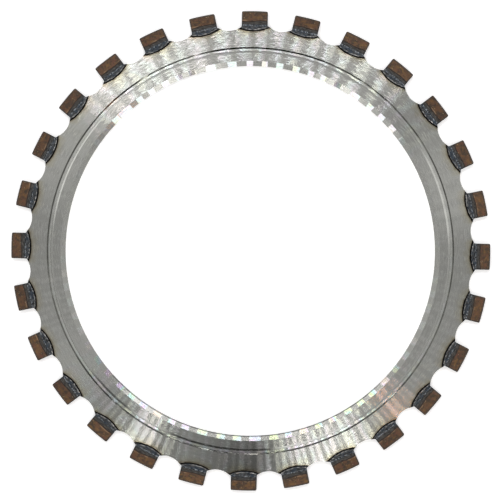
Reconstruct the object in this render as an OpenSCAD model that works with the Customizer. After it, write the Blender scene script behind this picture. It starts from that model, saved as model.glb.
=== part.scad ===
// Ring saw blade for cutting masonry, lying flat.
// A flat steel ring has a V-shaped edge round its hole and a guide groove in each face.
// Its rim is cut into pads by round gullets, and each pad carries one diamond segment.
// A segment is welded in with its flat foot towards the hollow seat of its pad.
// The blade's axis is Z, and it lies on the lower faces of its segments at z = 0.
// The first segment stands on the Y axis, and the others follow clockwise.

/* [Ring] */
// Diameter over the segments, the size that the blade is sold by
blade_d = 350; // [300:1:440]
// Number of diamond segments round the rim
segment_count = 28; // [23:1:32]
// Thickness of the steel ring
steel_t = 4.1; // [3:0.1:6]
// Width of the plain steel between the guide groove and the deepest points of the seats
web_w = 11.8; // [6:0.1:25]

/* [V edge] */
// Width of the land that is left at the tip of the V
edge_land_w = 0.6; // [0.2:0.1:1.6]
// Width of each bevel of the V, across the face of the ring
bevel_w = 3.6; // [1.5:0.1:7]

/* [Guide grooves] */
// Width of the plain flange between the bevel and the groove
flange_w = 5.9; // [3:0.1:9]
// Width of the sloped inner side of the groove
groove_ramp_w = 1.6; // [0.6:0.1:3]
// Width of the floor of the groove
groove_floor_w = 1.8; // [0.8:0.1:4]
// Width of the steep outer side of the groove
groove_bank_w = 0.8; // [0.2:0.1:2]
// Depth of the groove in each face
groove_depth = 1; // [0.3:0.1:1.3]

/* [Segments] */
// Width of a segment, along the rim
segment_w = 18.9; // [12:0.1:23]
// Height of the diamond layer, from the foot to the rim
layer_h = 7.4; // [4:0.1:12]
// How far the diamond layer stands proud of each face of the steel
layer_proud = 0.35; // [0.2:0.05:0.8]
// Height of the foot, the plain sintered layer under the diamonds
foot_h = 2.5; // [1:0.1:5]
// How far each face of the foot lies below that of the diamond layer
foot_step = 0.15; // [0.05:0.05:0.2]
// Size of the flats that break the two outer corners of a segment
corner_break = 0.6; // [0.2:0.1:2]
// Size of the chamfer along the long edges of the diamond layer
edge_break = 0.2; // [0.1:0.05:0.5]

/* [Seats and welds] */
// Radius of the hollow seat in each pad
seat_r = 28.8; // [21:0.1:50]
// How far the deepest point of the seat lies ahead of the segment's middle
seat_shift = 1.15; // [0:0.05:2]
// Depth of the weld, from the segment's foot to the deepest point of the seat
weld_h = 4.5; // [3.4:0.1:7]
// How far each pad and its weld reach past the sides of the segment
ear_w = 1.8; // [0.6:0.1:3]
// Height of an ear's root over the corner of its pad
ear_h = 0.9; // [0.3:0.1:1.4]
// How far the weld bulges past the sides of the segment over the ears
side_bulge = 0.15; // [0.05:0.05:0.3]
// How far the weld stands proud of each face of the steel
weld_proud = 0.1; // [0.05:0.05:0.15]
// Width of the raised bead that follows the seat
bead_w = 1.5; // [0.8:0.1:2.4]
// Height of that bead over the rest of the weld
bead_rise = 0.15; // [0.05:0.05:0.15]
// Distance of the bead from the edge of the seat
bead_inset = 0.2; // [0.1:0.1:0.6]

/* [Gullets] */
// Radius of the round gullets between the pads
gullet_r = 15; // [9:0.5:26]

/* [Hidden] */
$fn = 180;

steel_color = [0.60, 0.60, 0.58];
layer_color = [0.37, 0.26, 0.17];
foot_color = [0.27, 0.27, 0.28];
weld_color = [0.20, 0.22, 0.24];

blade_r = blade_d / 2;
pitch = 360 / segment_count;
seg_half = segment_w / 2;

// Levels across the thickness, counted from the middle of the steel
layer_t = steel_t + 2 * layer_proud;
foot_t = layer_t - 2 * foot_step;
weld_t = steel_t + 2 * weld_proud;
mid_z = layer_t / 2;

// Radii along a segment's own middle line
foot_top_r = blade_r - layer_h;
foot_r = foot_top_r - foot_h;
seat_bottom_r = foot_r - weld_h;

// Radii of the ring's section, from the plain steel inwards to the tip of the V
body_r = seat_bottom_r - web_w;
bank_r = body_r - groove_bank_w;
floor_r = bank_r - groove_floor_w;
ramp_r = floor_r - groove_ramp_w;
bevel_r = ramp_r - flange_w;
hole_r = bevel_r - bevel_w;

// Centre of the seat's circle, for the segment on the Y axis
seat_c = [-seat_shift, seat_bottom_r + seat_r];

// Corners of that segment's pad, where seat and gullets meet
pad_half = seg_half + ear_w;
pad_right = [pad_half, seat_level(pad_half)];
pad_left = [-pad_half, seat_level(-pad_half)];

// Bottom corners of the segment's foot, where the weld's sides end
foot_right = [seg_half, foot_r];
foot_left = [-seg_half, foot_r];

// Roots of the weld's two ears, where its upright sides meet their upper edges
ear_right = [seg_half + side_bulge, pad_right.y + ear_h];
ear_left = [-seg_half - side_bulge, pad_left.y + ear_h];

// Gullet for the gap on the Y axis: an arc through the nearest corners of the pads beside it
gap_left = turned(pad_right, pitch / 2);
gap_right = turned(pad_left, -pitch / 2);
gap_span = norm(gap_right - gap_left);
gap_normal = turned(gap_right - gap_left, 90) / gap_span;
gullet_c = (gap_left + gap_right) / 2 + sqrt(pow(gullet_r, 2) - pow(gap_span / 2, 2)) * gap_normal;

// Rounding of the bead's crown, from its width and its rise
bead_r = (pow(bead_w / 2, 2) + pow(bead_rise, 2)) / (2 * bead_rise);

// Spare length of a cutter past what it cuts
spare = 2;

function numbered(name, i) = str(name, i < 10 ? "_0" : "_", i);

// A point turned about the origin, anticlockwise
function turned(p, a) = [p.x * cos(a) - p.y * sin(a), p.x * sin(a) + p.y * cos(a)];

// Height of the seat's lower arc at a distance u from the segment's middle line
function seat_level(u) = seat_c.y - sqrt(pow(seat_r, 2) - pow(u - seat_c.x, 2));

// Point at the height y on the line from a to b
function on_line(a, b, y) = a + (b - a) * (y - a.y) / (b.y - a.y);

// Turns what is drawn on the Y axis to segment number i
module at_segment(i) {
    rotate([0, 0, -(i - 1) * pitch]) children();
}

// Cross-section of the ring about its middle plane, the same on both faces
module steel_section() {
    top = steel_t / 2;
    floor_z = top - groove_depth;
    upper = [
        [hole_r, edge_land_w / 2],
        [bevel_r, top],
        [ramp_r, top],
        [floor_r, floor_z],
        [bank_r, floor_z],
        [body_r, top],
        [foot_r, top]
    ];
    lower = [for (i = [len(upper) - 1:-1:0]) [upper[i].x, -upper[i].y]];
    polygon(concat(upper, lower));
}

// Outline of the rim: a disc with a hollow seat at each segment and a gullet in each gap
module rim_outline() {
    difference() {
        circle(r = foot_r);
        for (i = [1:segment_count]) {
            at_segment(i) translate(seat_c) circle(r = seat_r);
            at_segment(i + 0.5) translate(gullet_c) circle(r = gullet_r);
        }
    }
}

// The steel ring, turned to its section and cut to its outline
module steel_core() {
    color(steel_color) intersection() {
        translate([0, 0, mid_z]) rotate_extrude() steel_section();
        linear_extrude(layer_t) rim_outline();
    }
}

// Outline of a segment seen along the blade's axis, past the rim where the rim's arc ends it
module layer_outline() {
    shoulder_y = sqrt(pow(blade_r, 2) - pow(seg_half, 2)) - corner_break;
    tip_half = seg_half - corner_break - spare;
    tip_y = shoulder_y + corner_break + spare;
    polygon([
        [-seg_half, foot_top_r],
        [seg_half, foot_top_r],
        [seg_half, shoulder_y],
        [tip_half, tip_y],
        [-tip_half, tip_y],
        [-seg_half, shoulder_y]
    ]);
}

// Diamond layer: its outline, its chamfered section along the rim, and the rim's own arc
module diamond_layer() {
    intersection() {
        linear_extrude(layer_t) layer_outline();
        translate([0, blade_r + spare, 0]) rotate([90, 0, 0]) linear_extrude(layer_h + 3 * spare)
            chamfered_box([-seg_half, 0], [seg_half, layer_t]);
        rotate_extrude() chamfered_box([foot_r, 0], [blade_r, layer_t]);
    }
}

// Rectangle between two corners, with chamfers as on the long edges of the diamond layer
module chamfered_box(low, high) {
    e = edge_break;
    polygon([
        [low.x + e, low.y],
        [high.x - e, low.y],
        [high.x, low.y + e],
        [high.x, high.y - e],
        [high.x - e, high.y],
        [low.x + e, high.y],
        [low.x, high.y - e],
        [low.x, low.y + e]
    ]);
}

// Sintered foot under the diamond layer, a little thinner
module segment_foot() {
    translate([-seg_half, foot_r, foot_step]) cube([segment_w, foot_h, foot_t]);
}

// One segment: diamond layer and foot, pressed and sintered as one piece
module segment(i) {
    at_segment(i) {
        color(layer_color) diamond_layer();
        color(foot_color) segment_foot();
    }
}

// Section of the weld about its middle plane, outwards from the centre of the seat's circle
module weld_section() {
    top = weld_t / 2;
    bead_x = seat_r - bead_inset - bead_w / 2;
    translate([0, -top]) square([seat_r, weld_t]);
    for (side = [-1, 1]) {
        intersection() {
            translate([bead_x, side * (top + bead_rise - bead_r)]) circle(r = bead_r);
            translate([0, side > 0 ? 0 : -layer_t]) square([seat_r, layer_t]);
        }
    }
}

// Outline that bounds the weld by the foot, by its upright sides and by the upper edges of its ears
module weld_outline() {
    low_y = seat_bottom_r - spare;
    polygon([
        foot_left,
        foot_right,
        ear_right,
        on_line(ear_right, pad_right, low_y),
        on_line(ear_left, pad_left, low_y),
        ear_left
    ]);
}

// Weld between a segment's flat foot and the hollow seat, with its raised bead on both faces
module weld(i) {
    at_segment(i) color(weld_color) intersection() {
        translate([seat_c.x, seat_c.y, mid_z]) rotate_extrude() weld_section();
        linear_extrude(layer_t) weld_outline();
    }
}

steel_core();
for (i = [1:segment_count]) {
    segment(i);
    weld(i);
}
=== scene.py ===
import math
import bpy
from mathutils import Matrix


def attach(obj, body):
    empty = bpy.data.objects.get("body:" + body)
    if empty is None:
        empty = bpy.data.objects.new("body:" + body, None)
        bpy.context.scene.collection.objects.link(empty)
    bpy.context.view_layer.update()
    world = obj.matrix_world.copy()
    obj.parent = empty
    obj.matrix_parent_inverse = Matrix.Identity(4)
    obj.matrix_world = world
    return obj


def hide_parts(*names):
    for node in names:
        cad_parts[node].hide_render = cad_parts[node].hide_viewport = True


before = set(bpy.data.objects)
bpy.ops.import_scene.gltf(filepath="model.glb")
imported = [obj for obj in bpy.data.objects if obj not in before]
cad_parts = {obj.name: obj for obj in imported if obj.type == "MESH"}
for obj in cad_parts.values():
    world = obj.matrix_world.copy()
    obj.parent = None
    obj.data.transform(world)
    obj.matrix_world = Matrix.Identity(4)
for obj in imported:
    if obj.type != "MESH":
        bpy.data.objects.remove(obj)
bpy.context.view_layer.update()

# Looks of a ring saw blade that lies flat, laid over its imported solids.
# The steel core keeps its solid and gets a material of turned steel. Each segment and each weld is
# replaced by a finer piece with worn edges, grain and ripples.
# Sizes of the blade are in millimetres; the floor, the camera and the lamps are placed in metres.

from types import SimpleNamespace

import bpy
from mathutils import Matrix, Vector, noise

MM = 0.001

# Radii of the ring's section, from the rim inwards
RIM_R = 174.99
FOOT_TOP_R = 167.6
FOOT_R = 165.1
BODY_R = 148.8
BANK_R = 148.0
FLOOR_R = 146.2
RAMP_R = 144.6
BEVEL_R = 138.7
HOLE_R = 135.1

# Segments, pads and seats; the seat's centre is that of the segment on the Y axis
SEGMENTS = 28
PITCH = 2 * math.pi / SEGMENTS
SEGMENT_HALF = 9.45
PAD_HALF = 11.25
SEAT_R = 28.8
SEAT_CENTRE = (-1.15, 189.4)
EAR_H = 0.9
SIDE_BULGE = 0.15

# Thicknesses
LAYER_T = 4.8
WELD_T = 4.3
MID_Z = LAYER_T / 2
FOOT_STEP = 0.15

# Line between a segment's foot and its diamond layer: its slant, and how far and how fast it sways
FOOT_SLANT = 0.030
FOOT_SWING = 0.25
FOOT_WAVE = 0.36
FOOT_PHASE = 2.4


class Graph:
    """A node tree, built by small calls that take numbers or sockets and return sockets."""

    def __init__(self, tree):
        self.tree = tree
        tree.nodes.clear()

    def node(self, kind, inputs=None, **settings):
        node = self.tree.nodes.new(kind)
        for key, value in settings.items():
            setattr(node, key, value)
        for key, value in (inputs or {}).items():
            self.feed(node.inputs[key], value)
        return node

    def feed(self, socket, value):
        """Links a socket to an input, or sets the input to a number, a vector or a colour."""
        if isinstance(value, bpy.types.NodeSocket):
            self.tree.links.new(value, socket)
        elif socket.type == "RGBA":
            socket.default_value = (*value, 1.0)
        else:
            socket.default_value = value

    def math(self, operation, *values, clamp=False):
        node = self.node("ShaderNodeMath", operation=operation, use_clamp=clamp)
        for socket, value in zip(node.inputs, values):
            self.feed(socket, value)
        return node.outputs[0]

    def add(self, a, b):
        return self.math("ADD", a, b)

    def sub(self, a, b):
        return self.math("SUBTRACT", a, b)

    def mul(self, a, *others, clamp=False):
        """The product of two or more numbers."""
        for other in others:
            a = self.math("MULTIPLY", a, other, clamp=clamp)
        return a

    def mul_add(self, a, b, c, clamp=False):
        """a times b, plus c."""
        return self.math("MULTIPLY_ADD", a, b, c, clamp=clamp)

    def absolute(self, value):
        return self.math("ABSOLUTE", value)

    def larger(self, a, b):
        return self.math("MAXIMUM", a, b)

    def rest(self, share):
        """What a share, 0..1, leaves of 1."""
        return self.sub(1.0, share)

    def centred(self, share):
        """Moves noise of 0..1 to -0.5..0.5."""
        return self.sub(share, 0.5)

    def step(self, value, low, high):
        """0 below low, 1 above high, smooth between; falls instead if low is above high."""
        if low > high:
            return self.rest(self.step(value, high, low))
        ends = {"Value": value, "From Min": low, "From Max": high}
        node = self.node("ShaderNodeMapRange", ends, interpolation_type="SMOOTHSTEP")
        return node.outputs["Result"]

    def scale(self, share, low, high):
        """Maps 0..1 to low..high."""
        ends = {"Value": share, "To Min": low, "To Max": high}
        return self.node("ShaderNodeMapRange", ends, clamp=False).outputs["Result"]

    def scale_to(self, share, value, target):
        """Moves a value by a share, 0..1, towards a target."""
        return self.mul_add(share, self.sub(target, value), value)

    def mix(self, share, a, b, blend="MIX"):
        """Mixes two colours, each a socket or its red, green and blue."""
        ends = {0: share, 6: a, 7: b}
        return self.node("ShaderNodeMix", ends, data_type="RGBA", blend_type=blend).outputs[2]

    def tinted(self, colour, tint, share=1.0):
        """A colour multiplied by a tint, all of it or only a share."""
        whole = self.mix(1.0, colour, tint, "MULTIPLY")
        return self.mix(share, colour, whole) if share != 1.0 else whole

    def ramp(self, share, stops):
        """Colours along 0..1, from pairs of a place and a colour."""
        node = self.node("ShaderNodeValToRGB", {"Fac": share})
        elements = node.color_ramp.elements
        while len(elements) < len(stops):
            elements.new(0.5)
        for element, (place, colour) in zip(elements, stops):
            element.position = place
            element.color = (*colour, 1.0)
        return node.outputs["Color"]

    def vector(self, x, y, z):
        return self.node("ShaderNodeCombineXYZ", {0: x, 1: y, 2: z}).outputs[0]

    def noise(self, vector, scale=1.0, detail=3.0, roughness=0.55):
        ends = {"Vector": vector, "Scale": scale, "Detail": detail, "Roughness": roughness}
        return self.node("ShaderNodeTexNoise", ends, noise_dimensions="3D").outputs["Fac"]

    def ring_noise(self, angle, radius, around, outwards, lift=0.0, **settings):
        """Noise that joins up round the ring.

        around is the radius, in units of the noise, of the circle that the ring becomes, and
        outwards its units for each millimetre of radius. lift moves it to another stretch of noise.
        """
        across = self.mul(self.math("SINE", angle), around)
        up = self.mul(self.math("COSINE", angle), around)
        if lift:
            up = self.add(up, lift)
        return self.noise(self.vector(across, up, self.mul(radius, outwards)), **settings)

    def bump(self, height, distance, strength):
        """A normal that follows a height, with the distance in metres."""
        ends = {"Height": height, "Distance": distance, "Strength": strength}
        return self.node("ShaderNodeBump", ends).outputs["Normal"]

    def facing(self, x, y, length, compass, low, high):
        """1 near one compass direction, in degrees anticlockwise from +X, and 0 away from it.

        x, y and length are those of a vector in the plane, and low and high are cosines of the
        angles off that direction where the effect ends and where it is full.
        """
        way = math.radians(compass)
        along = self.mul_add(x, math.cos(way), self.mul(y, math.sin(way)))
        return self.step(self.math("DIVIDE", along, length), low, high)


def new_material(name):
    """A node material and the graph that fills it."""
    material = bpy.data.materials.new(name)
    material.use_nodes = True
    return material, Graph(material.node_tree)


def set_surface(graph, surface):
    graph.node("ShaderNodeOutputMaterial", {"Surface": surface})


def ring_tangent(s):
    """Direction round the blade's axis, along which turned metal stretches its highlights."""
    return s.node("ShaderNodeTangent", direction_type="RADIAL", axis="Z").outputs[0]


def blade_place(s):
    """Sockets that say where on the blade a point lies.

    x, y, z and radius are in millimetres, and angle is in radians clockwise from +Y. spot is x, y
    and z as a vector. In the frame of the nearest segment, u runs along the rim and v outwards, and
    side is u without its sign. number counts the segments from 0. depth is the distance outside the
    seat's arc: 0 on the seat, more towards the blade's axis.
    """
    spot = s.node("ShaderNodeTexCoord").outputs["Object"]
    split = s.node("ShaderNodeSeparateXYZ", {0: spot})
    x, y, z = [s.mul(axis, 1 / MM) for axis in split.outputs]
    radius = s.math("SQRT", s.add(s.mul(x, x), s.mul(y, y)))
    angle = s.math("ARCTAN2", x, y)

    turns = s.math("DIVIDE", angle, PITCH)
    nearest = s.math("ROUND", turns)
    local = s.mul(s.sub(turns, nearest), PITCH)
    u = s.mul(radius, s.math("SINE", local))
    v = s.mul(radius, s.math("COSINE", local))
    number = s.math("FLOORED_MODULO", nearest, SEGMENTS)

    du, dv = s.sub(u, SEAT_CENTRE[0]), s.sub(v, SEAT_CENTRE[1])
    depth = s.sub(s.math("SQRT", s.add(s.mul(du, du), s.mul(dv, dv))), SEAT_R)
    return SimpleNamespace(
        x=x, y=y, z=z, spot=s.vector(x, y, z), radius=radius, angle=angle,
        u=u, v=v, side=s.absolute(u), number=number, depth=depth,
    )


def segment_noise(s, at, along, outwards, own=1.0, **settings):
    """Noise in the frame of each segment, with another stretch of it for each one."""
    place = s.vector(s.mul(at.u, along), s.mul(at.v, outwards), s.mul(at.number, own))
    return s.noise(place, **settings)


# Turned steel

# Noise of its lines, of the dashes between them and of its grain, of the slow drift and the patches
# of its streaks, of its painted rainbow sheen and of the clots of painted shade in the groove's
# corner
LINES = dict(around=8.0, outwards=1.0, detail=1.0, roughness=0.6)
DASHES = dict(around=44.0, outwards=1.1, detail=0.0)
GRAIN = dict(around=12.0, outwards=3.1, detail=2.0, roughness=0.6)
DRIFT = dict(around=2.6, outwards=0.004, detail=1.0)
PATCHES = dict(around=34.0, outwards=0.02, detail=2.0, roughness=0.65)
PAINTED_SHEEN_HUES = dict(around=11.0, outwards=0.05, lift=40.0, detail=1.0)
SHADE_CLOTS = dict(around=9.0, outwards=0.4, detail=3.0, roughness=0.7)

# How softly one zone of the section passes into the next
ZONE_BLUR = 0.1
# Ranges of y and of x over which the lower half and the left side begin
LOWER_HALF = (30.0, -30.0)
LEFT_SIDE = (-15.0, -45.0)
# Angles off the X axis, in radians, over which the lit sectors at +Y and -Y begin
LIT_SECTORS = (0.45, 0.85)
# Compass directions of the front and of one bright block on the bevel, with their edges' cosines
FRONT = (259.5, 0.950, 0.976)
BRIGHT_BLOCK = (133.1, 0.9989, 0.9995)

# How many streaks go round the ring, and how far the slow drift moves them; how far each line and
# dash shifts them, in radians; and how much the patches between them differ
STREAKS, STREAK_DRIFT = 72.0, 9.0
FINE_STREAKS, FINE_DRIFT = 171.0, 17.0
LINE_SHIFT, DASH_SHIFT = 0.035, 0.025
PATCH_GAIN = 2.8

# Shares of streaks, fine streaks and patches on body and bevel, and the range from dull to bright
BODY_WAVE, BODY_FINE, BODY_RANGE = 0.62, 0.7, (-1.00, 1.10)
BEVEL_WAVE, BEVEL_PATCH, BEVEL_RANGE = 0.85, 0.45, (-0.10, 0.40)
# How much brighter streaks are in the lower half
BODY_LOWER_LIFT = 0.2
BEVEL_LOWER_LIFT = 0.15
# What dashes add on dull and on bright streaks, and their share in the lower half
DASH_GAIN, LOWER_DASHES = (0.6, 1.4), 0.3

# Its roughness from dull to bright streaks; on the bevel as pairs for the upper and the lower half
BODY_ROUGHNESS = (0.125, 0.235)
SLOPE_ROUGHNESS = (0.11, 0.16)
BEVEL_DULL_ROUGHNESS = (0.25, 0.13)
BEVEL_BRIGHT_ROUGHNESS = (0.085, 0.25)
# What is left of the roughness at the front
FRONT_BODY_POLISH = 0.66
FRONT_BEVEL_POLISH = 0.80
# Height of lines and of grain in the bump, and its distance and strength
LINE_HEIGHT, GRAIN_HEIGHT = 0.6, 0.4
STEEL_BUMP = (0.00002, 0.1)
# Stretch of a turned highlight, and the turn that lays it across the lines
STEEL_STRETCH = 1.0
QUARTER_TURN = 0.25

STEEL = (0.70, 0.70, 0.656)
# Rainbow of the turned lines, painted into the colour as a sheen where the light falls across them
PAINTED_SHEEN_RAINBOW = [
    (0.38, (0.82, 0.90, 0.64)),
    (0.44, (0.65, 0.90, 0.82)),
    (0.50, (0.70, 0.82, 0.92)),
    (0.56, (0.86, 0.72, 0.92)),
    (0.63, (0.90, 0.82, 0.73)),
]
# The painted rainbow sheen's share everywhere, and what bevel and floor add in the upper and the
# lower half
PAINTED_SHEEN_BASE = 0.20
PAINTED_SHEEN_TURNED = (0.16, 0.50)
# Its strength as a tint on the bevel, in the upper and the lower half
PAINTED_SHEEN_BEVEL = (0.35, 0.8)
# What is left of it outside the lit sectors, and at the front
PAINTED_SHEEN_UNLIT = 0.12
PAINTED_SHEEN_FRONT = 0.7

# How much each texture changes the steel's tone; the dull ones are painted shade on the bevel's
# dull streaks in the lit sectors
GRAIN_TONE, LINE_TONE, FLOOR_TONE = 0.22, 0.12, 0.22
DASH_TONE, LOWER_DASH_TONE = (0.05, 0.50), 0.6
DULL_SHADE_UPPER_RIGHT, DULL_SHADE_UPPER_LEFT, DULL_SHADE_LOWER = -0.10, -0.44, -0.08

# Painted shade along the tip of the V towards -Y, and painted shade in the outer corner of the
# groove
TIP_SHADE_EDGE, TIP_SHADE_SIDE = (HOLE_R + 0.90, HOLE_R + 0.45), (-85.0, -100.0)
TIP_SHADE_SHARE, TIP_SHADE_COLOUR = 0.85, (0.08, 0.08, 0.08)
CORNER_SHADE_INNER = (BANK_R - 0.45, BANK_R - ZONE_BLUR)
CORNER_SHADE_OUTER = (BODY_R + ZONE_BLUR, BODY_R - ZONE_BLUR)
CORNER_SHADE_CLOTS, CORNER_SHADE_THIN, CORNER_SHADE_THICK = (0.38, 0.48), 0.35, (0.62, 0.94)
CORNER_SHADE_COLOUR = (0.045, 0.045, 0.045)

# Heat tints outside each seat: how far their edge wanders, the distances where they end and are
# full, their strength and colour; then the painted shade along the toe of the weld
HEAT_CLOUD = dict(scale=0.25, detail=3.0)
HEAT_SIDE = (14.0, 11.0)
HEAT_TINTS = [
    (7.0, (7.0, 0.5), 0.85, (0.94, 0.89, 0.76)),
    (3.0, (2.1, 0.3), 0.8, (0.58, 0.51, 0.42)),
]
TOE_WANDER, TOE_DEPTH, TOE_SIDE = 0.9, (0.75, 0.40), (13.0, 12.0)
TOE_SHADE_COLOUR, TOE_ROUGHNESS = (0.014, 0.012, 0.009), 0.3


def turned_steel():
    """Bare steel with turned lines round the axis, streaks across them and heat-tinted pads."""
    material, s = new_material("turned_steel")
    at = blade_place(s)
    add_zones(s, at)
    lines = s.ring_noise(at.angle, at.radius, **LINES)
    dashes = s.ring_noise(at.angle, at.radius, **DASHES)
    grain = s.ring_noise(at.angle, at.radius, **GRAIN)
    streak = steel_streaks(s, at, lines, dashes)
    # Painted sheen: rainbow tints of the turned lines, mostly in the lit sectors
    colour = painted_rainbow_sheen(s, at, streak)
    colour = s.tinted(colour, steel_tone(s, at, streak, lines, dashes, grain))
    # Painted shade along the V's tip towards -Y and in the groove's outer corner
    colour = painted_shade_at_tip_and_corner(s, at, colour)
    # Heat tints round each weld, and painted shade along its toe
    colour, toe_shade = heat_tints_and_toe_shade(s, at, colour)
    height = s.add(s.mul(lines, LINE_HEIGHT), s.mul(grain, GRAIN_HEIGHT))
    steel = s.node("ShaderNodeBsdfPrincipled", {
        "Base Color": colour,
        "Metallic": 1.0,
        "Roughness": s.add(steel_roughness(s, at, streak), s.mul(toe_shade, TOE_ROUGHNESS)),
        "Normal": s.bump(height, *STEEL_BUMP),
        "Tangent": ring_tangent(s),
        "Anisotropic": STEEL_STRETCH,
        "Anisotropic Rotation": QUARTER_TURN,
    })
    set_surface(s, steel.outputs[0])
    return material


def add_zones(s, at):
    """Adds to a place its shares, 0..1, in the zones of the section and the sides of the blade."""

    def band(inner, outer):
        past_inner = s.step(at.radius, inner - ZONE_BLUR, inner + ZONE_BLUR)
        return s.mul(past_inner, s.step(at.radius, outer + ZONE_BLUR, outer - ZONE_BLUR))

    at.on_bevel = s.step(at.radius, BEVEL_R + ZONE_BLUR, BEVEL_R - ZONE_BLUR)
    at.on_floor = band(FLOOR_R, BANK_R)
    at.on_slopes = s.larger(band(RAMP_R, FLOOR_R), band(BANK_R, BODY_R))
    at.lower = s.step(at.y, *LOWER_HALF)
    at.left = s.step(at.x, *LEFT_SIDE)
    at.front = s.facing(at.x, at.y, at.radius, *FRONT)
    off_axis = s.absolute(s.sub(s.absolute(at.angle), math.pi / 2))
    at.lit = s.step(off_axis, *LIT_SECTORS)


def steel_streaks(s, at, lines, dashes):
    """0 on dull streaks and 1 on bright ones, which run along the radius some 5 degrees apart."""
    shift = s.add(s.mul(lines, LINE_SHIFT), s.mul(dashes, DASH_SHIFT))
    turned = s.add(at.angle, s.mul(shift, s.rest(at.on_bevel)))
    drift = s.ring_noise(at.angle, at.radius, **DRIFT)
    wave = s.math("SINE", s.mul_add(turned, STREAKS, s.mul(drift, STREAK_DRIFT)))
    fine = s.math("SINE", s.mul_add(at.angle, FINE_STREAKS, s.mul(drift, FINE_DRIFT)))
    patch = s.mul(s.centred(s.ring_noise(turned, at.radius, **PATCHES)), PATCH_GAIN)

    level = s.mul_add(s.mul(at.lower, fine), BODY_FINE, s.mul_add(wave, BODY_WAVE, patch))
    body = s.step(level, *BODY_RANGE)
    room = s.scale(at.lower, 1.0, 1.0 - BODY_LOWER_LIFT)
    body = s.mul_add(body, room, s.mul(at.lower, BODY_LOWER_LIFT))
    gain = s.mul(s.scale(body, *DASH_GAIN), s.scale(at.lower, 1.0, LOWER_DASHES))
    body = s.mul_add(s.centred(dashes), gain, body, clamp=True)

    level = s.mul_add(wave, BEVEL_WAVE, s.mul(patch, BEVEL_PATCH))
    bevel = s.step(s.mul_add(at.lower, BEVEL_LOWER_LIFT, level), *BEVEL_RANGE)
    bevel = s.larger(bevel, s.facing(at.x, at.y, at.radius, *BRIGHT_BLOCK))
    return s.scale_to(at.on_bevel, body, bevel)


def steel_roughness(s, at, streak):
    body = s.mul(s.scale(streak, *BODY_ROUGHNESS), s.scale(at.front, 1.0, FRONT_BODY_POLISH))
    dull = s.scale(at.lower, *BEVEL_DULL_ROUGHNESS)
    bright = s.scale(at.lower, *BEVEL_BRIGHT_ROUGHNESS)
    bevel = s.mul(s.scale(streak, dull, bright), s.scale(at.front, 1.0, FRONT_BEVEL_POLISH))
    rough = s.scale_to(at.on_bevel, body, bevel)
    return s.scale_to(at.on_slopes, rough, s.scale(streak, *SLOPE_ROUGHNESS))


def painted_rainbow_sheen(s, at, streak):
    """The steel's colour with a painted rainbow sheen of its turned lines, mostly in the lit
    sectors and stronger on bevel and floor.
    """
    sheen_colours = s.ramp(s.ring_noise(at.angle, at.radius, **PAINTED_SHEEN_HUES), PAINTED_SHEEN_RAINBOW)
    turned = s.scale(at.lower, *PAINTED_SHEEN_TURNED)
    share = s.mul_add(s.larger(at.on_bevel, at.on_floor), turned, PAINTED_SHEEN_BASE)
    share = s.mul(streak, share, s.scale(at.lit, PAINTED_SHEEN_UNLIT, 1.0))
    share = s.mul(share, s.scale(at.front, 1.0, PAINTED_SHEEN_FRONT))
    strong = s.mul(share, at.on_bevel, s.scale(at.lower, *PAINTED_SHEEN_BEVEL), clamp=True)
    return s.tinted(s.mix(share, STEEL, sheen_colours), sheen_colours, strong)


def steel_tone(s, at, streak, lines, dashes, grain):
    """A grey that the steel's colour is multiplied by, with painted shade on the bevel's dull
    streaks in the lit sectors.
    """
    tone = s.mul_add(s.centred(grain), GRAIN_TONE, 1.0)
    tone = s.mul_add(s.centred(lines), LINE_TONE, tone)
    dash_tone = s.mul(s.scale(streak, *DASH_TONE), s.scale(at.lower, 1.0, LOWER_DASH_TONE))
    tone = s.mul_add(s.centred(dashes), dash_tone, tone)
    tone = s.mul(tone, s.mul_add(at.on_floor, FLOOR_TONE, 1.0))
    # Painted shade on the bevel's dull streaks in the lit sectors, deepest in the upper left
    dull = s.mul(at.on_bevel, at.lit, s.rest(streak))
    upper_shade = s.scale(at.left, DULL_SHADE_UPPER_RIGHT, DULL_SHADE_UPPER_LEFT)
    tone = s.mul(tone, s.mul_add(dull, s.scale(at.lower, upper_shade, DULL_SHADE_LOWER), 1.0))
    return s.vector(tone, tone, tone)


def painted_shade_at_tip_and_corner(s, at, colour):
    """Painted shade: darkens the tip of the V towards -Y and, in clots, the outer corner of the
    groove.
    """
    # Painted shade along the V's tip, on the -Y side only
    tip_shade = s.mul(s.step(at.radius, *TIP_SHADE_EDGE), s.step(at.y, *TIP_SHADE_SIDE), TIP_SHADE_SHARE)
    colour = s.mix(tip_shade, colour, TIP_SHADE_COLOUR)
    # Painted shade in the groove's outer corner, in clots, deeper in the lit sectors
    corner = s.mul(s.step(at.radius, *CORNER_SHADE_INNER), s.step(at.radius, *CORNER_SHADE_OUTER))
    shade_clumps = s.step(s.ring_noise(at.angle, at.radius, **SHADE_CLOTS), *CORNER_SHADE_CLOTS)
    corner_shade = s.mul(corner, s.scale(shade_clumps, CORNER_SHADE_THIN, s.scale(at.lit, *CORNER_SHADE_THICK)))
    return s.mix(corner_shade, colour, CORNER_SHADE_COLOUR)


def heat_tints_and_toe_shade(s, at, colour):
    """Straw tint round each weld, brown near it and painted shade, near black, along the weld's
    toe; also the share of that shade.
    """
    wander = s.centred(s.noise(at.spot, **HEAT_CLOUD))
    beside = s.step(at.side, *HEAT_SIDE)
    for reach, limits, strength, tint in HEAT_TINTS:
        share = s.mul(s.step(s.mul_add(wander, reach, at.depth), *limits), beside, strength)
        colour = s.tinted(colour, tint, share)
    # Painted shade: a near-black line on the steel along the weld's toe
    toe_shade = s.step(s.mul_add(wander, TOE_WANDER, at.depth), *TOE_DEPTH)
    toe_shade = s.mul(toe_shade, s.step(at.side, *TOE_SIDE))
    return s.mix(toe_shade, colour, TOE_SHADE_COLOUR), toe_shade


# Sintered metal

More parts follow.
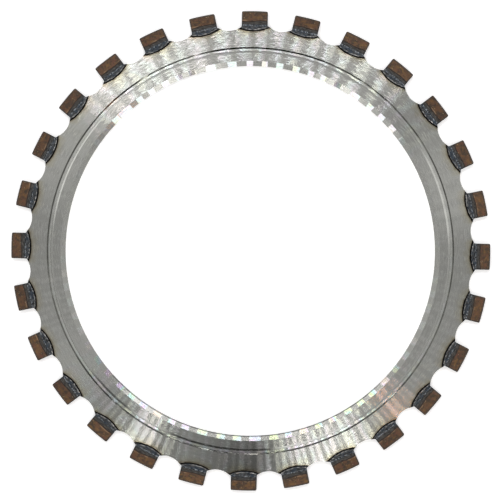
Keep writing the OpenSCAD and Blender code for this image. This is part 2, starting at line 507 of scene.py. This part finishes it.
# Noise of its powder, clouds and stains, and of the streaks drawn over the foot
POWDER = dict(scale=2.2, detail=3.0, roughness=0.7)
CLOUDS = dict(scale=0.30, detail=2.0, roughness=0.6)
STAINS = dict(along=1.0, outwards=2.2, own=7.7, scale=0.22, detail=3.0)
FOOT_DRAWN = dict(along=0.35, outwards=2.4, detail=3.0)
GRIT_SCALE = 1.3

# Colours of the diamond layer: the matrix, and then stains of the noise named first, with the range
# over which they come in, their strength and their colour
MATRIX_RANGE, MATRIX_DARK, MATRIX_LIGHT = (0.36, 0.64), (0.050, 0.029, 0.014), (0.135, 0.062, 0.024)
LAYER_STAINS = [
    ("stain", (0.52, 0.66), 0.8, (0.190, 0.092, 0.022)),
    ("stain", (0.46, 0.32), 0.7, (0.150, 0.052, 0.028)),
    ("grain", (0.52, 0.75), 0.6, (0.23, 0.14, 0.075)),
    ("grain", (0.50, 0.28), 0.8, (0.034, 0.023, 0.015)),
]
OWN_TONE = ((0.84, 0.80, 0.74), (1.16, 1.20, 1.20))

# Dark worn edges, which wander by a share of the clouds
EDGE_WANDER, EDGE_SHARE = 2.2, (0.5, 1.1)
EDGE_SIDE, EDGE_RIM = (8.0, 9.3), (RIM_R - 1.6, RIM_R - 0.3)
EDGE_GRAIN, EDGE_DARK, EDGE_LIGHT = (0.4, 0.7), (0.024, 0.022, 0.019), (0.090, 0.080, 0.068)

# Diamonds: their size, the few cells of the grit that hold one, and their colour
DIAMOND_SIZE, DIAMOND_CHANCE, DIAMOND_COLOUR = (0.26, 0.16), (0.955, 0.965), (0.72, 0.60, 0.34)

# Foot: its drawn streaks, the bluish lower part, the tan lip above its line, which is a painted
# highlight, and the dark seam on it, a joint darkened by painted shade at the step
FOOT_RANGE, FOOT_DARK, FOOT_LIGHT = (0.36, 0.66), (0.024, 0.022, 0.020), (0.120, 0.112, 0.102)
FOOT_LOW, FOOT_LOW_WANDER = (FOOT_R + 1.2, FOOT_R), 3.0
FOOT_LOW_SHARE, FOOT_BLUE = 0.7, (0.85, 1.0, 1.18)
FOOT_SIDE_SHARE, FOOT_SIDE_COLOUR = 0.7, (0.022, 0.022, 0.024)
LINE_GRAIN, LINE_BLUR = 0.35, 0.1
LIP_LEVEL, LIP_WIDTH, LIP_STAIN = 0.75, (0.45, 0.1), (0.50, 0.62)
LIP_SHARE, LIP_HIGHLIGHT_COLOUR = 0.75, (0.30, 0.20, 0.13)
SEAM_WIDTH, SEAM_SHARE, SEAM_SHADE_COLOUR = (0.50, 0.18), 0.85, (0.026, 0.015, 0.009)

# Metal share of foot and layer, roughness from coarse to fine powder, and the bump
LAYER_METAL = (0.65, 0.10)
LAYER_ROUGHNESS = (0.42, 0.75)
POWDER_HEIGHT, GRIT_HEIGHT = 0.7, 0.3
LAYER_BUMP = (0.00030, 0.7)


def sintered_segment():
    """Brown diamond layer over a dark grey foot, both sintered metal powder."""
    material, s = new_material("sintered_segment")
    at = blade_place(s)
    grain = s.noise(at.spot, **POWDER)
    cloud = s.noise(at.spot, **CLOUDS)
    stain = segment_noise(s, at, **STAINS)
    grit = s.node("ShaderNodeTexVoronoi", {"Vector": at.spot, "Scale": GRIT_SCALE}).outputs

    # Matrix with reddish and ochre stains, a tone of each segment's own, and dark worn edges
    colour = s.mix(s.step(cloud, *MATRIX_RANGE), MATRIX_DARK, MATRIX_LIGHT)
    for kind, limits, strength, tint in LAYER_STAINS:
        texture = stain if kind == "stain" else grain
        colour = s.mix(s.mul(s.step(texture, *limits), strength), colour, tint)
    own = s.node("ShaderNodeTexWhiteNoise", {"W": at.number}, noise_dimensions="1D")
    colour = s.tinted(colour, s.mix(own.outputs["Value"], *OWN_TONE))
    wander = s.mul(s.centred(cloud), EDGE_WANDER)
    side = s.step(s.add(at.side, wander), *EDGE_SIDE)
    rim = s.step(s.add(at.radius, wander), *EDGE_RIM)
    edge = s.mul(s.larger(side, rim), s.scale(grain, *EDGE_SHARE), clamp=True)
    colour = s.mix(edge, colour, s.mix(s.step(grain, *EDGE_GRAIN), EDGE_DARK, EDGE_LIGHT))

    # Diamonds that catch the light here and there
    chance = s.node("ShaderNodeSeparateColor", {0: grit["Color"]}).outputs[0]
    diamond = s.mul(s.step(grit["Distance"], *DIAMOND_SIZE), s.step(chance, *DIAMOND_CHANCE))
    colour = s.mix(diamond, colour, DIAMOND_COLOUR)

    # Foot under the layer: grey with drawn streaks, bluish below and dark at its sides
    drawn = segment_noise(s, at, **FOOT_DRAWN)
    foot = s.mix(s.step(drawn, *FOOT_RANGE), FOOT_DARK, FOOT_LIGHT)
    low = s.step(s.mul_add(s.centred(cloud), FOOT_LOW_WANDER, at.v), *FOOT_LOW)
    foot = s.tinted(foot, FOOT_BLUE, s.mul(low, FOOT_LOW_SHARE))
    foot = s.mix(s.mul(side, FOOT_SIDE_SHARE), foot, FOOT_SIDE_COLOUR)

    # Level over the line where foot and layer meet, a tan lip above that line as a painted
    # highlight, and a dark seam on it, a joint darkened by painted shade at the step
    swing = s.math("SINE", s.mul_add(at.u, FOOT_WAVE, s.mul(at.number, FOOT_PHASE)))
    line = s.add(s.mul_add(at.u, FOOT_SLANT, FOOT_TOP_R), s.mul(swing, FOOT_SWING))
    level = s.add(s.sub(at.v, line), s.mul(s.centred(grain), LINE_GRAIN))
    layer = s.step(level, -LINE_BLUR, LINE_BLUR)
    colour = s.mix(layer, foot, colour)
    # Painted highlight: a tan lip on the layer's lower edge
    lip_highlight = s.step(s.absolute(s.sub(level, LIP_LEVEL)), *LIP_WIDTH)
    colour = s.mix(s.mul(lip_highlight, s.step(stain, *LIP_STAIN), LIP_SHARE), colour, LIP_HIGHLIGHT_COLOUR)
    # Painted shade at the step: a dark seam on the line between foot and layer
    seam_shade = s.mul(s.step(s.absolute(level), *SEAM_WIDTH), SEAM_SHARE)
    colour = s.mix(seam_shade, colour, SEAM_SHADE_COLOUR)

    height = s.sub(s.mul(grain, POWDER_HEIGHT), s.mul(grit["Distance"], GRIT_HEIGHT))
    powder = s.node("ShaderNodeBsdfPrincipled", {
        "Base Color": colour,
        "Metallic": s.scale(layer, *LAYER_METAL),
        "Roughness": s.scale(grain, *LAYER_ROUGHNESS),
        "Normal": s.bump(height, *LAYER_BUMP),
    })
    set_surface(s, powder.outputs[0])
    return material


# Weld metal

# Noise of its scale, of the streaks drawn over it, of the ripple crests and of the wear on its bead
SCALE_GRAIN = dict(scale=1.6, detail=3.0, roughness=0.65)
SCALE_CLOUDS = dict(scale=0.35, detail=2.0)
WELD_DRAWN = dict(along=0.4, outwards=2.0, detail=3.0)
WELD_BEADS = dict(along=0.85, outwards=0.9, own=3.3, detail=2.0)
WELD_WEAR = dict(along=0.45, outwards=1.2, own=5.1, detail=3.0)

# Its dark scale with drawn streaks and blue clouds
SCALE_RANGE, SCALE_DARK, SCALE_LIGHT = (0.36, 0.66), (0.018, 0.019, 0.020), (0.118, 0.127, 0.135)
BLUE_RANGE, BLUE_SHARE, BLUE_COLOUR = (0.48, 0.62), 0.65, (0.038, 0.054, 0.075)

# The row of ripple crests under the foot, painted with highlights, and the dark joint between the
# two
ROW_LEVEL, ROW_GRAIN, ROW_WIDTH = FOOT_R - 0.45, 1.2, (0.75, 0.25)
ROW_BEADS, ROW_SHARE, ROW_HIGHLIGHT_COLOUR = (0.50, 0.62), 0.85, (0.36, 0.39, 0.42)
JOINT_GRAIN, JOINT_LEVEL = 0.5, (FOOT_R - 0.30, FOOT_R - 0.05)
JOINT_SHARE, JOINT_COLOUR = 0.6, (0.015, 0.015, 0.016)

# The bead's crest, ground bright and partly a painted highlight, the undercut's painted shade, near
# black, and the black ears
BEAD_DEPTH = 0.95
GROUND_WANDER, GROUND_WIDTH, GROUND_WEAR = 1.2, (0.48, 0.14), (0.42, 0.64)
GROUND_SIDE, GROUND_HIGHLIGHT_COLOUR, GROUND_POLISH = (11.0, 9.0), (0.44, 0.43, 0.41), 0.18
UNDERCUT_GRAIN, UNDERCUT_DEPTH, SHADE_AND_EAR_COLOUR = 0.5, (0.72, 0.38), (0.010, 0.009, 0.008)
EAR_SIDE, EAR_SHARE = (9.2, 10.2), 0.85

WELD_METAL = 0.9
WELD_ROUGHNESS = (0.34, 0.62)
WELD_BUMP = (0.00018, 0.6)
WELD_STRETCH = 0.6


def weld_metal():
    """Dark oxidised weld with a bright ground crest along the seat, partly a painted highlight,
    painted shade in the undercut, and bluish ripples above it with painted highlights on a row of
    their crests.
    """
    material, s = new_material("weld_metal")
    at = blade_place(s)
    inside = s.mul(at.depth, -1.0)
    grain = s.noise(at.spot, **SCALE_GRAIN)
    cloud = s.noise(at.spot, **SCALE_CLOUDS)
    drawn = segment_noise(s, at, **WELD_DRAWN)
    jitter = s.centred(grain)

    colour = s.mix(s.step(drawn, *SCALE_RANGE), SCALE_DARK, SCALE_LIGHT)
    colour = s.mix(s.mul(s.step(cloud, *BLUE_RANGE), BLUE_SHARE), colour, BLUE_COLOUR)

    # Painted highlights on a row of ripple crests just under the foot
    row = s.add(s.sub(ROW_LEVEL, at.v), s.mul(jitter, ROW_GRAIN))
    beads = segment_noise(s, at, **WELD_BEADS)
    crest_highlights = s.mul(s.step(s.absolute(row), *ROW_WIDTH), s.step(beads, *ROW_BEADS), ROW_SHARE)
    colour = s.mix(crest_highlights, colour, ROW_HIGHLIGHT_COLOUR)
    joint = s.step(s.add(at.v, s.mul(jitter, JOINT_GRAIN)), *JOINT_LEVEL)
    colour = s.mix(s.mul(joint, JOINT_SHARE), colour, JOINT_COLOUR)

    # Ground crest of the bead, worn bright in places and partly a painted highlight, and the
    # undercut beside it with its painted shade, near black
    off = s.add(s.sub(inside, BEAD_DEPTH), s.mul(s.centred(cloud), GROUND_WANDER))
    wear = segment_noise(s, at, **WELD_WEAR)
    # The crest's pale colour is partly a painted highlight
    ground_highlight = s.mul(s.step(s.absolute(off), *GROUND_WIDTH), s.step(wear, *GROUND_WEAR))
    ground_highlight = s.mul(ground_highlight, s.step(at.side, *GROUND_SIDE))
    colour = s.mix(ground_highlight, colour, GROUND_HIGHLIGHT_COLOUR)
    # Painted shade, near black, in the undercut along the seat; the ears are black metal
    undercut = s.step(s.add(inside, s.mul(jitter, UNDERCUT_GRAIN)), *UNDERCUT_DEPTH)
    undercut_shade_and_ears = s.larger(undercut, s.mul(s.step(at.side, *EAR_SIDE), EAR_SHARE))
    colour = s.mix(undercut_shade_and_ears, colour, SHADE_AND_EAR_COLOUR)

    polish = s.mul(ground_highlight, s.rest(undercut_shade_and_ears), GROUND_POLISH)
    metal = s.node("ShaderNodeBsdfPrincipled", {
        "Base Color": colour,
        "Metallic": WELD_METAL,
        "Roughness": s.sub(s.scale(grain, *WELD_ROUGHNESS), polish),
        "Normal": s.bump(s.add(grain, drawn), *WELD_BUMP),
        "Tangent": ring_tangent(s),
        "Anisotropic": WELD_STRETCH,
        "Anisotropic Rotation": QUARTER_TURN,
    })
    set_surface(s, metal.outputs[0])
    return material


def add_object(name, data):
    """A new object in the scene."""
    thing = bpy.data.objects.new(name, data)
    bpy.context.scene.collection.objects.link(thing)
    return thing


def dress(node, material):
    """Gives a CAD node its material."""
    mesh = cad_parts[node].data
    mesh.materials.clear()
    mesh.materials.append(material)


# Segments and welds, as closed slabs with modelled faces

# Degrees past which an edge shows sharp
SHARP_ANGLE = 38
# Where the underside takes its noise, away from the upper side's
UNDERSIDE = Vector((0.0, 0.0, 50.0))
# How fast the parts of the fractal noise get weaker and finer
FRACTAL_FALL, FRACTAL_GAIN = 0.8, 2.1


def spaced(low, high, step, rim):
    """Places from low to high, close together at both ends as rim says and step apart between."""
    inner = high - low - 2 * rim[-1]
    count = max(1, round(inner / step))
    middle = [low + rim[-1] + inner * i / count for i in range(1, count)]
    return [low + d for d in rim] + middle + [high - d for d in reversed(rim)]


def slab(name, rows, columns, place, top, bottom, turn, material):
    """A closed slab, drawn on the Y axis and turned clockwise.

    place gives the outline's u and v for a row and a column, and top and bottom give its levels for
    u, v and the turned spot, which their noise follows.
    """
    count_r, count_c = len(rows), len(columns)
    cosine, sine = math.cos(turn), math.sin(turn)
    vertices = []
    for level in (top, bottom):
        for row in rows:
            for column in columns:
                u, v = place(row, column)
                x, y = u * cosine + v * sine, v * cosine - u * sine
                vertices.append((x * MM, y * MM, level(u, v, Vector((x, y, 0.0))) * MM))
    size = count_r * count_c
    faces = []
    for r in range(count_r - 1):
        for c in range(count_c - 1):
            a = r * count_c + c
            ring = (a, a + 1, a + 1 + count_c, a + count_c)
            faces.append(ring)
            faces.append(tuple(size + k for k in reversed(ring)))
    border = list(range(count_c))
    border += [r * count_c + count_c - 1 for r in range(1, count_r)]
    border += [(count_r - 1) * count_c + c for c in range(count_c - 2, -1, -1)]
    border += [r * count_c for r in range(count_r - 2, 0, -1)]
    for a, b in zip(border, border[1:] + border[:1]):
        faces.append((b, a, a + size, b + size))
    mesh = bpy.data.meshes.new(name)
    mesh.from_pydata(vertices, [], faces)
    mesh.materials.append(material)
    mesh.shade_smooth()
    mesh.set_sharp_from_angle(angle=math.radians(SHARP_ANGLE))
    return add_object(name, mesh)


def rounded(distance, radius):
    """Drop of a rounded edge at a distance from its border."""
    if distance >= radius:
        return 0.0
    return radius - math.sqrt(radius ** 2 - (radius - distance) ** 2)


def rough(place, frequency, octaves):
    """Noise of about -1 to 1 at a place in millimetres."""
    spot = place * frequency
    return noise.fractal(spot, FRACTAL_FALL, FRACTAL_GAIN, octaves, noise_basis="PERLIN_ORIGINAL")


def blend(value, low, high):
    """0 below low, 1 above high, smooth between; falls instead if low is above high."""
    share = min(1.0, max(0.0, (value - low) / (high - low)))
    return share * share * (3 - 2 * share)


def seat_level(u):
    """Level of the seat's arc at a distance u from the segment's middle line."""
    return SEAT_CENTRE[1] - math.sqrt(SEAT_R ** 2 - (u - SEAT_CENTRE[0]) ** 2)


def foot_line(u, number):
    """Level of the line between the foot and the diamond layer, a little slanted and wavy."""
    swing = math.sin(FOOT_WAVE * u + FOOT_PHASE * (number - 1))
    return FOOT_TOP_R + FOOT_SLANT * u + FOOT_SWING * swing


# A segment's rounded corners and edges, the blur of its step at the foot, its grain and its mesh
CORNER_ROUND = 0.8
EDGE_ROUND = 0.36
STEP_BLUR = 0.15
FACE_GRAIN, FACE_GRAIN_SIZE, FACE_OCTAVES = 0.055, 1.9, 4
SEGMENT_SEED = 7.3
SEGMENT_CELL = 0.42
SEGMENT_EDGE = (0.0, 0.05, 0.16, 0.36)


def segment_piece(number, material):
    """Diamond segment with its foot: worn rounded edges, a grainy face and a stepped-down foot."""
    seed = Vector((0.0, 0.0, SEGMENT_SEED * number))

    def rim_level(u):
        over = min(CORNER_ROUND, max(0.0, abs(u) - (SEGMENT_HALF - CORNER_ROUND)))
        drop = CORNER_ROUND - math.sqrt(CORNER_ROUND ** 2 - over ** 2)
        return math.sqrt(RIM_R ** 2 - u ** 2) - drop

    def place(row, column):
        return column, FOOT_R + row * (rim_level(column) - FOOT_R)

    def sunk(u, v, spot):
        edge = min(SEGMENT_HALF - abs(u), rim_level(u) - v)
        line = foot_line(u, number)
        step = FOOT_STEP * (1.0 - blend(v, line - STEP_BLUR, line + STEP_BLUR))
        grain = 0.5 + 0.5 * rough(spot + seed, FACE_GRAIN_SIZE, FACE_OCTAVES)
        return rounded(max(0.0, edge), EDGE_ROUND) + step + FACE_GRAIN * min(1.0, max(0.0, grain))

    def top(u, v, spot):
        return LAYER_T - sunk(u, v, spot)

    def bottom(u, v, spot):
        return sunk(u, v, spot + UNDERSIDE)

    columns = spaced(-SEGMENT_HALF, SEGMENT_HALF, SEGMENT_CELL, SEGMENT_EDGE)
    levels = spaced(FOOT_R, RIM_R, SEGMENT_CELL, SEGMENT_EDGE)
    rows = [(v - FOOT_R) / (RIM_R - FOOT_R) for v in levels]
    turn = (number - 1) * PITCH
    return slab(f"segment_{number:02d}_sintered", rows, columns, place, top, bottom, turn, material)


# A weld's outline: the row at the ears' roots, and the ends of it where the ears are
ROOT_ROW = 0.4
EAR_ENDS = (0.8, 1.0)

# Its bead, and ripples that bend away from the middle of the weld and wobble, in millimetres
BEAD_HALF = 0.75
BEAD_RISE = 0.15
BEAD_PLAIN = 0.85
RIPPLE_PITCH = 0.95
RIPPLE_BEND, RIPPLE_MIDDLE = 0.14, 2.2
RIPPLE_WOBBLE, WOBBLE_SIZE, WOBBLE_OCTAVES = 0.6, 0.55, 2
RIPPLE_SHARPNESS = 0.7
RIPPLE_RISE = 0.10
RIPPLE_START = (0.3, 1.6)
RIPPLE_FADE = 0.7
END_FADE = 0.8
LUMPS, LUMP_SIZE, LUMP_OCTAVES = 0.06, 0.9, 3
UNDERCUT, UNDERCUT_EDGE = 0.30, (0.05, 0.45)
WELD_SINK = 0.12
FACE_GAP = 0.08
WELD_SEED = 3.1

# Its mesh, in shares of the outline
WELD_COLUMNS = (0.0105, (0.0, 0.004))
WELD_ROWS = (0.052, (0.0, 0.02, 0.05))


def weld_piece(number, material):
    """Weld between a segment's foot and the seat: a raised bead at the seat, and ripples."""
    seed = Vector((0.0, 0.0, WELD_SEED * number))
    right = math.asin((PAD_HALF - SEAT_CENTRE[0]) / SEAT_R)
    left = math.asin((-PAD_HALF - SEAT_CENTRE[0]) / SEAT_R)

    def place(row, column):
        """Straight from the seat to the foot, but past the ears' roots near the two ends."""
        angle = left + (right - left) * column
        seat_u = SEAT_CENTRE[0] + SEAT_R * math.sin(angle)
        seat = Vector((seat_u, SEAT_CENTRE[1] - SEAT_R * math.cos(angle)))
        foot = Vector((SEGMENT_HALF * (2 * column - 1), FOOT_R))
        spot = seat.lerp(foot, row)
        side = -1 if column < 0.5 else 1
        corner = Vector((side * PAD_HALF, seat_level(side * PAD_HALF)))
        root = Vector((side * (SEGMENT_HALF + SIDE_BULGE), corner.y + EAR_H))
        end = Vector((side * SEGMENT_HALF, FOOT_R))
        if row < ROOT_ROW:
            bent = corner.lerp(root, row / ROOT_ROW)
        else:
            bent = root.lerp(end, (row - ROOT_ROW) / (1 - ROOT_ROW))
        spot += (bent - corner.lerp(end, row)) * blend(abs(2 * column - 1), *EAR_ENDS)
        return spot.x, spot.y

    def risen(u, v, spot):
        du, dv = u - SEAT_CENTRE[0], SEAT_CENTRE[1] - v
        depth = SEAT_R - math.hypot(du, dv)
        along = SEAT_R * math.atan2(du, dv)
        off = (depth - BEAD_DEPTH) / BEAD_HALF
        bead = BEAD_RISE * math.sqrt(max(0.0, 1.0 - off * off))
        wobble = RIPPLE_WOBBLE * rough(spot + seed, WOBBLE_SIZE, WOBBLE_OCTAVES)
        bend = RIPPLE_BEND * (depth - RIPPLE_MIDDLE) ** 2
        phase = 2 * math.pi * (along / RIPPLE_PITCH + bend + wobble)
        ripple = (0.5 + 0.5 * math.cos(phase)) ** RIPPLE_SHARPNESS
        bead *= BEAD_PLAIN + (1 - BEAD_PLAIN) * ripple
        body = RIPPLE_RISE * ripple * blend(depth, *RIPPLE_START)
        body *= blend(v, FOOT_R, FOOT_R - RIPPLE_FADE)
        ends = blend(PAD_HALF - abs(u), 0.0, END_FADE)
        lumps = LUMPS * rough(spot + seed, LUMP_SIZE, LUMP_OCTAVES)
        undercut = UNDERCUT * (1.0 - blend(depth, *UNDERCUT_EDGE))
        return ends * (bead + body) + lumps - undercut - WELD_SINK

    def top(u, v, spot):
        return min(LAYER_T - FACE_GAP, MID_Z + WELD_T / 2 + risen(u, v, spot))

    def bottom(u, v, spot):
        return max(FACE_GAP, MID_Z - WELD_T / 2 - risen(u, v, spot + UNDERSIDE))

    columns = spaced(0.0, 1.0, *WELD_COLUMNS)
    rows = spaced(0.0, 1.0, *WELD_ROWS)
    turn = (number - 1) * PITCH
    return slab(f"weld_{number:02d}_bead", rows, columns, place, top, bottom, turn, material)


steel = turned_steel()
sintered = sintered_segment()
weld = weld_metal()
dress("steel_core", steel)
for i in range(1, SEGMENTS + 1):
    piece = segment_piece(i, sintered)
    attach(piece, "root")
    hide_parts(f"segment_{i:02d}")
    piece = weld_piece(i, weld)
    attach(piece, "root")
    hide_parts(f"weld_{i:02d}")


# Floor: white paper just under the blade, which glows to the camera so that it shows no shadow

FLOOR_HALF = 3.0
FLOOR_DROP = 0.0002
FLOOR_GLOW = 0.45
PAPER = (0.95, 0.95, 0.95)


def plain_floor():
    material, s = new_material("plain_floor")
    path = s.node("ShaderNodeLightPath").outputs
    sharp = s.larger(path["Is Glossy Ray"], path["Is Transmission Ray"])
    seen = s.larger(path["Is Camera Ray"], sharp)
    paper = s.node("ShaderNodeBsdfDiffuse", {"Color": PAPER})
    glow = s.node("ShaderNodeEmission", {"Strength": s.mul(seen, FLOOR_GLOW)})
    both = s.node("ShaderNodeAddShader", {0: paper.outputs[0], 1: glow.outputs[0]})
    set_surface(s, both.outputs[0])
    return material


floor_mesh = bpy.data.meshes.new("floor")
sides = [(-1, -1), (1, -1), (1, 1), (-1, 1)]
corners = [(FLOOR_HALF * x, FLOOR_HALF * y, -FLOOR_DROP) for x, y in sides]
floor_mesh.from_pydata(corners, [], [(0, 1, 2, 3)])
floor_mesh.materials.append(plain_floor())
floor = add_object("floor", floor_mesh)


# Camera, straight above the blade with the photograph's small tilt and roll

CAMERA_DISTANCE = 1.2
FOCAL_PIXELS = 1644.0
IMAGE_PIXELS = 500
SENSOR_MM = 36.0
AIM = Vector((0.58, 0.77, 4.1)) * MM
TILT_X = math.radians(0.26)
TILT_Y = math.radians(-2.742)
ROLL = math.radians(-0.588)
FIRST_SEGMENT_TURN = math.radians(-0.788)

to_camera = (
    Matrix.Rotation(ROLL, 3, "Z") @ Matrix.Rotation(TILT_X, 3, "X")
    @ Matrix.Rotation(TILT_Y, 3, "Y") @ Matrix.Rotation(FIRST_SEGMENT_TURN, 3, "Z")
)
to_world = to_camera.transposed()
camera_data = bpy.data.cameras.new("camera")
camera_data.sensor_width = SENSOR_MM
camera_data.lens = FOCAL_PIXELS * SENSOR_MM / IMAGE_PIXELS
camera = add_object("camera", camera_data)
camera_place = AIM + to_world @ Vector((0, 0, CAMERA_DISTANCE))
camera.matrix_world = Matrix.Translation(camera_place) @ to_world.to_4x4()
bpy.context.scene.camera = camera


# Light: a soft room with a dark side towards -Y, and softboxes round the blade

# The room's level halfway up and overhead, and near the horizon, and the heights where these begin,
# as the upward share of a direction
ROOM_LEVEL = (0.50, 0.37)
LOW_LEVEL = 0.50
HIGH_FROM, LOW_FROM = (0.80, 0.92), (0.65, 0.45)

# Parts of the room that are brighter or darker: middle, half width and blur in degrees, and level
HIGH_ROOM = [
    (24, 15, 5, 0.66),
    (155, 14, 8, 0.64),
    (210, 6, 5, 0.56),
    (226, 8, 4, 0.15),
    (321, 12, 5, 0.38),
]
LOW_ROOM = [
    (120, 14, 8, 0.72),
    (150, 20, 8, 1.15),
    (18, 12, 6, 1.00),
    (226, 6, 4, 0.12),
    (240, 6, 3, 0.90),
    (288, 12, 3, 1.20),
]
# The dark side reaches from the horizon nearly to the top
DARK_SIDE = (260, 15, 4, 0.04)
DARK_FROM = (0.04, 0.14)
# Least level share of a direction, so that nothing is divided by 0 straight overhead
FLAT_LEAST = 0.001
BACKDROP_LEVEL = 1.3


def room_light():
    """World light by direction; the camera itself sees a white backdrop."""
    world = bpy.data.worlds.new("room")
    bpy.context.scene.world = world
    world.use_nodes = True
    g = Graph(world.node_tree)
    direction = g.node("ShaderNodeTexCoord").outputs["Generated"]
    x, y, z = g.node("ShaderNodeSeparateXYZ", {0: direction}).outputs
    flat = g.larger(g.math("SQRT", g.add(g.mul(x, x), g.mul(y, y))), FLAT_LEAST)
    high = g.step(z, *HIGH_FROM)
    low = g.step(z, *LOW_FROM)
    off_top = g.step(flat, *DARK_FROM)
    level = g.scale_to(low, g.scale(high, *ROOM_LEVEL), LOW_LEVEL)
    for parts, band in ((HIGH_ROOM, high), (LOW_ROOM, low), ([DARK_SIDE], off_top)):
        for middle, half, blur, value in parts:
            far, near = math.cos(math.radians(half + blur)), math.cos(math.radians(half - blur))
            wedge = g.facing(x, y, flat, middle, far, near)
            level = g.scale_to(g.mul(wedge, band), level, value)
    seen = g.node("ShaderNodeLightPath").outputs["Is Camera Ray"]
    strength = g.scale_to(seen, level, BACKDROP_LEVEL)
    background = g.node("ShaderNodeBackground", {"Strength": strength})
    g.node("ShaderNodeOutputWorld", {"Surface": background.outputs[0]})


def softbox(name, compass, stand, size, radiance, colour):
    """A rectangular lamp that faces the blade's middle."""
    turn = math.radians(compass)
    reach, height = stand
    place = Vector((reach * math.cos(turn), reach * math.sin(turn), height))
    data = bpy.data.lights.new(name, "AREA")
    data.shape = "RECTANGLE"
    data.size, data.size_y = size
    data.energy = radiance * size[0] * size[1] * math.pi
    data.color = colour
    lamp = add_object(name, data)
    lamp.location = place
    lamp.rotation_euler = place.to_track_quat("Z", "Y").to_euler()


# Distance from the blade's axis and height over it of the boxes and of the strips
BOX_STAND = (1.1, 2.0)
STRIP_STAND = (1.28, 1.4)

WHITE = (1.0, 1.0, 1.0)
CREAM = (1.0, 0.985, 0.955)

# Name, compass direction in degrees anticlockwise from +X, stand, size, radiance and colour
SOFTBOXES = [
    ("upper_left_box", 123, BOX_STAND, (0.80, 0.44), 6.2, (1.0, 0.99, 0.99)),
    ("upper_right_box", 77, BOX_STAND, (1.00, 0.44), 5.9, (0.985, 0.975, 1.0)),
    ("lower_left_box", 238.4, BOX_STAND, (0.18, 0.44), 7.6, CREAM),
    ("lower_right_box", 288.0, BOX_STAND, (0.43, 0.44), 8.2, CREAM),
    ("front_strip", 262.0, STRIP_STAND, (0.86, 0.34), 1.55, WHITE),
    ("front_left_strip", 226, STRIP_STAND, (0.46, 0.34), 1.2, WHITE),
    ("front_right_strip", 303, STRIP_STAND, (0.60, 0.34), 1.15, WHITE),
    ("warm_box", 309.4, BOX_STAND, (0.05, 0.40), 11.0, (1.0, 0.37, 0.08)),
]

room_light()
for values in SOFTBOXES:
    softbox(*values)

scene = bpy.context.scene
scene.view_settings.view_transform = "Standard"
